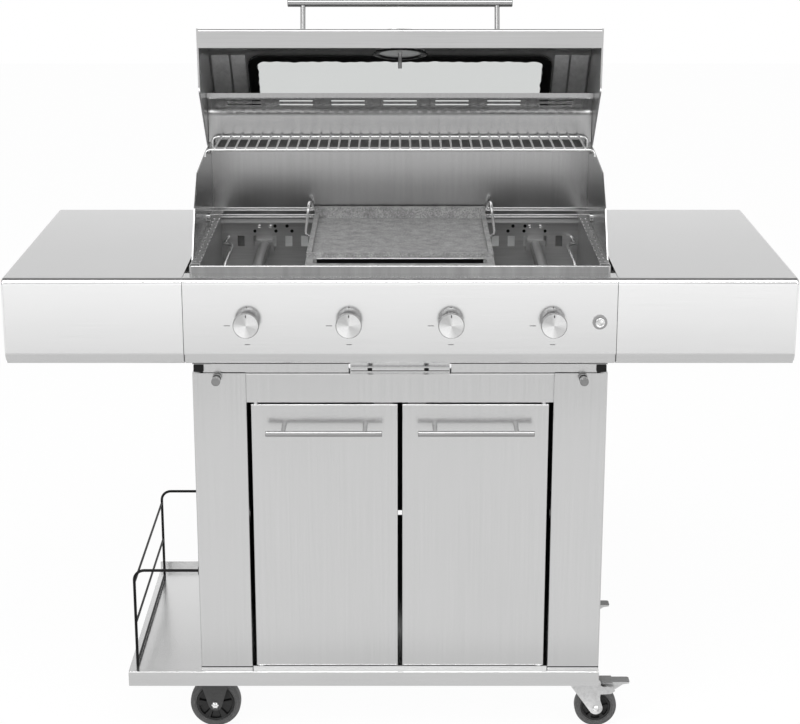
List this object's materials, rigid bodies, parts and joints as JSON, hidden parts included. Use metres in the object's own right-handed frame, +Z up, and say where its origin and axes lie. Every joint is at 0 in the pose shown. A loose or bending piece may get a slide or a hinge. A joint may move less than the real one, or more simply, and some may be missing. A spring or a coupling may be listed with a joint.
{
  "type": "gas grill cart",
  "caption": "Gas barbecue on a wheeled steel cabinet cart with an opening hood, windowed lid, griddle, side shelves and turning control knobs.",
  "frame": {"origin": "middle of the part's outline on the floor", "axes": "+Z up, +X to the right as seen from the front, the front with its knobs faces -Y"},
  "size_m": [1.3, 0.667, 1.2615],
  "materials": {
    "brushed_stainless": "brushed stainless sheet",
    "polished_stainless": "polished stainless bar and wire",
    "firebox_steel": "dull rolled steel sheet",
    "black_enamel": "satin black enamel",
    "grey_cast_iron": "rough cast",
    "zinc_plate": "zinc plated",
    "knob_metal": "turned metal",
    "gas_brass": "machined",
    "tyre_rubber": "moulded tread",
    "grey_plastic": "moulded",
    "ceramic": "glazed rod",
    "seal_black": "matt woven seal",
    "clear_glass": "clear toughened",
    "needle_black": "satin"
  },
  "bodies": {
    "cart": {"base_tray": "brushed_stainless", "caster_rails": "zinc_plate", "cart_side_left": "brushed_stainless", "cart_side_right": "brushed_stainless", "cart_back_panel": "black_enamel", "cart_header": "brushed_stainless", "head_rails": "zinc_plate", "head_mounts": "black_enamel", "door_hinge_pins": "zinc_plate", "side_rack_rail": "black_enamel", "tool_pegs": "polished_stainless", "rigid_caster_forks": "black_enamel", "swivel_caster_plates": "zinc_plate", "firebox_tub": "firebox_steel", "firebox_side_left": "firebox_steel", "firebox_side_right": "firebox_steel", "rear_wall": "brushed_stainless", "burners": "firebox_steel", "igniter_electrodes": "ceramic", "control_panel": "brushed_stainless", "gas_valves": "gas_brass", "gas_manifold": "zinc_plate", "igniter_body": "polished_stainless", "shelf_left": "brushed_stainless", "shelf_right": "brushed_stainless", "tray_runners": "firebox_steel", "hood_pivot_bolts": "polished_stainless"},
    "griddle": {"griddle": "grey_cast_iron"},
    "warming_rack": {"warming_rack": "polished_stainless"},
    "grease_tray": {"grease_tray": "brushed_stainless"},
    "igniter_button": {"igniter_button": "polished_stainless"},
    "hood": {"hood_shell": "brushed_stainless", "hood_side_left": "brushed_stainless", "hood_side_right": "brushed_stainless", "hood_handle": "polished_stainless", "window_glass": "clear_glass", "window_seal": "seal_black", "thermometer_case": "brushed_stainless", "thermometer_lens": "clear_glass"},
    "thermometer_needle": {"thermometer_needle": "needle_black"},
    "door_left": {"door_left": "brushed_stainless", "door_handle_left": "polished_stainless"},
    "door_right": {"door_right": "brushed_stainless", "door_handle_right": "polished_stainless"},
    "spindle_1": {"valve_spindle_1": "zinc_plate"},
    "knob_1": {"knob_1": "knob_metal"},
    "spindle_2": {"valve_spindle_2": "zinc_plate"},
    "knob_2": {"knob_2": "knob_metal"},
    "spindle_3": {"valve_spindle_3": "zinc_plate"},
    "knob_3": {"knob_3": "knob_metal"},
    "spindle_4": {"valve_spindle_4": "zinc_plate"},
    "knob_4": {"knob_4": "knob_metal"},
    "wheel_left_front": {"wheel_left_front": "tyre_rubber"},
    "swivel_front": {"swivel_fork_front": "zinc_plate"},
    "wheel_right_front": {"wheel_right_front": "tyre_rubber"},
    "brake_pedal_front": {"brake_pedal_front": "grey_plastic"},
    "wheel_left_rear": {"wheel_left_rear": "tyre_rubber"},
    "swivel_rear": {"swivel_fork_rear": "zinc_plate"},
    "wheel_right_rear": {"wheel_right_rear": "tyre_rubber"},
    "brake_pedal_rear": {"brake_pedal_rear": "grey_plastic"}
  },
  "joints": [
    {"name": "hood_hinge", "type": "hinge", "parent": "cart", "child": "hood", "pos_m": [0, 0.04649, 0.875], "axis": [1, 0, 0], "range_deg": [0, 86]},
    {"name": "door_left_hinge", "type": "hinge", "parent": "cart", "child": "door_left", "pos_m": [-0.243, -0.25351, 0.14], "axis": [0, 0, -1], "range_deg": [0, 95]},
    {"name": "door_right_hinge", "type": "hinge", "parent": "cart", "child": "door_right", "pos_m": [0.243, -0.25351, 0.14], "axis": [0, 0, 1], "range_deg": [0, 95]},
    {"name": "grease_tray_slide", "type": "slide", "parent": "cart", "child": "grease_tray", "axis": [0, -1, 0], "range_m": [0, 0.3]},
    {"name": "griddle_lift", "type": "slide", "parent": "cart", "child": "griddle", "axis": [0, 0, 1], "range_m": [0, 0.05]},
    {"name": "warming_rack_lift", "type": "slide", "parent": "cart", "child": "warming_rack", "axis": [0, 0, 1], "range_m": [0, 0.03]},
    {"name": "igniter_push", "type": "slide", "parent": "cart", "child": "igniter_button", "axis": [0, 1, 0], "range_m": [0, 0.004], "stiffness_N_per_m": 300},
    {"name": "thermometer_turn", "type": "hinge", "parent": "hood", "child": "thermometer_needle", "pos_m": [0, 0.11943, 1.17848], "axis": [0, -0.319, -0.9478], "range_deg": [0, 240], "stiffness_Nm_per_rad": 0.001},
    {"name": "spindle_push_1", "type": "slide", "parent": "cart", "child": "spindle_1", "axis": [0, 1, 0], "range_m": [0, 0.004], "stiffness_N_per_m": 400},
    {"name": "knob_turn_1", "type": "hinge", "parent": "spindle_1", "child": "knob_1", "pos_m": [-0.2505, -0.33351, 0.775], "axis": [0, 1, 0], "range_deg": [0, 180]},
    {"name": "spindle_push_2", "type": "slide", "parent": "cart", "child": "spindle_2", "axis": [0, 1, 0], "range_m": [0, 0.004], "stiffness_N_per_m": 400},
    {"name": "knob_turn_2", "type": "hinge", "parent": "spindle_2", "child": "knob_2", "pos_m": [-0.0835, -0.33351, 0.775], "axis": [0, 1, 0], "range_deg": [0, 180]},
    {"name": "spindle_push_3", "type": "slide", "parent": "cart", "child": "spindle_3", "axis": [0, 1, 0], "range_m": [0, 0.004], "stiffness_N_per_m": 400},
    {"name": "knob_turn_3", "type": "hinge", "parent": "spindle_3", "child": "knob_3", "pos_m": [0.0835, -0.33351, 0.775], "axis": [0, 1, 0], "range_deg": [0, 180]},
    {"name": "spindle_push_4", "type": "slide", "parent": "cart", "child": "spindle_4", "axis": [0, 1, 0], "range_m": [0, 0.004], "stiffness_N_per_m": 400},
    {"name": "knob_turn_4", "type": "hinge", "parent": "spindle_4", "child": "knob_4", "pos_m": [0.2505, -0.33351, 0.775], "axis": [0, 1, 0], "range_deg": [0, 180]},
    {"name": "wheel_left_front_roll", "type": "hinge", "parent": "cart", "child": "wheel_left_front", "pos_m": [-0.33, -0.20651, 0.045], "axis": [0, 1, 0], "continuous": true},
    {"name": "swivel_front_turn", "type": "hinge", "parent": "cart", "child": "swivel_front", "pos_m": [0.318, -0.20651, 0.105], "axis": [0, 0, 1], "continuous": true},
    {"name": "wheel_right_front_roll", "type": "hinge", "parent": "swivel_front", "child": "wheel_right_front", "pos_m": [0.35, -0.20651, 0.0375], "axis": [0, 1, 0], "continuous": true},
    {"name": "brake_front_press", "type": "hinge", "parent": "swivel_front", "child": "brake_pedal_front", "pos_m": [0.3525, -0.20651, 0.086], "axis": [0, 1, 0], "range_deg": [0, 12]},
    {"name": "wheel_left_rear_roll", "type": "hinge", "parent": "cart", "child": "wheel_left_rear", "pos_m": [-0.33, 0.13349, 0.045], "axis": [0, 1, 0], "continuous": true},
    {"name": "swivel_rear_turn", "type": "hinge", "parent": "cart", "child": "swivel_rear", "pos_m": [0.318, 0.13349, 0.105], "axis": [0, 0, 1], "continuous": true},
    {"name": "wheel_right_rear_roll", "type": "hinge", "parent": "swivel_rear", "child": "wheel_right_rear", "pos_m": [0.35, 0.13349, 0.0375], "axis": [0, 1, 0], "continuous": true},
    {"name": "brake_rear_press", "type": "hinge", "parent": "swivel_rear", "child": "brake_pedal_rear", "pos_m": [0.3525, 0.13349, 0.086], "axis": [0, 1, 0], "range_deg": [0, 12]}
  ]
}
